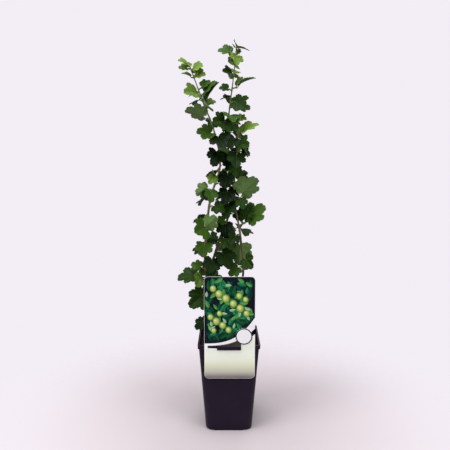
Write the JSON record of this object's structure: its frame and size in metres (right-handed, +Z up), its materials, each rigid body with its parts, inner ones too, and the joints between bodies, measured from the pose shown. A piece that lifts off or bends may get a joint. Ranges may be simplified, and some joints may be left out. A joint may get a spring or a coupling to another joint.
{
  "type": "potted gooseberry bush",
  "caption": "Young gooseberry bush of slim upright stems with lobed leaves, in a square tapered plastic pot with a hooked-on picture label card.",
  "frame": {"origin": "centre of the pot's flat underside", "axes": "+Z up along the stems, -Y towards the label card's face, +X to the right of someone who faces the card"},
  "size_m": [0.1729, 0.1236, 0.7503],
  "materials": {
    "pot_plastic": "dark aubergine moulded plastic, satin",
    "compost": "moist peaty compost with bark bits, matt",
    "card_print": "thin printed plastic card, semi-gloss",
    "card_white": "blank white round sticker, semi-gloss",
    "bark": "young reddish-brown bark, turning green on the shoots, matt",
    "leaf": "dark to mid green leaves, soft sheen"
  },
  "bodies": {
    "root": {"centre_stem": "bark", "compost": "compost", "label_badge": "card_white", "label_card": "card_print", "leaves_back_centre": "leaf", "leaves_back_foot": "leaf", "leaves_back_heart": "leaf", "leaves_back_high": "leaf", "leaves_back_knee": "leaf", "leaves_back_left": "leaf", "leaves_back_low": "leaf", "leaves_back_middle": "leaf", "leaves_back_right": "leaf", "leaves_back_shoot": "leaf", "leaves_back_upper": "leaf", "leaves_centre_blue": "leaf", "leaves_centre_fall": "leaf", "leaves_centre_foot": "leaf", "leaves_centre_hang": "leaf", "leaves_centre_low": "leaf", "leaves_centre_mid": "leaf", "leaves_centre_turn": "leaf", "leaves_crook": "leaf", "leaves_hang_left": "leaf", "leaves_heart": "leaf", "leaves_heart_left": "leaf", "leaves_heart_low": "leaf", "leaves_high_left": "leaf", "leaves_knot_left": "leaf", "leaves_low_left": "leaf", "leaves_mid_left": "leaf", "leaves_neck_left": "leaf", "leaves_right_bright": "leaf", "leaves_right_dark": "leaf", "leaves_right_edge": "leaf", "leaves_right_foot": "leaf", "leaves_right_mid": "leaf", "leaves_right_pale": "leaf", "leaves_right_tip": "leaf", "leaves_right_up": "leaf", "leaves_right_wide": "leaf", "leaves_rim_left": "leaf", "leaves_shoot_high": "leaf", "leaves_shoot_low": "leaf", "leaves_shoot_mid": "leaf", "leaves_shoot_neck": "leaf", "leaves_shoot_pale": "leaf", "leaves_shoot_tip": "leaf", "leaves_small_left": "leaf", "leaves_top": "leaf", "leaves_top_dark": "leaf", "leaves_top_left": "leaf", "leaves_upper_edge": "leaf", "leaves_upper_left": "leaf", "leaves_upper_right": "leaf", "main_stem": "bark", "pot": "pot_plastic", "right_stem": "bark"}
  },
  "joints": []
}
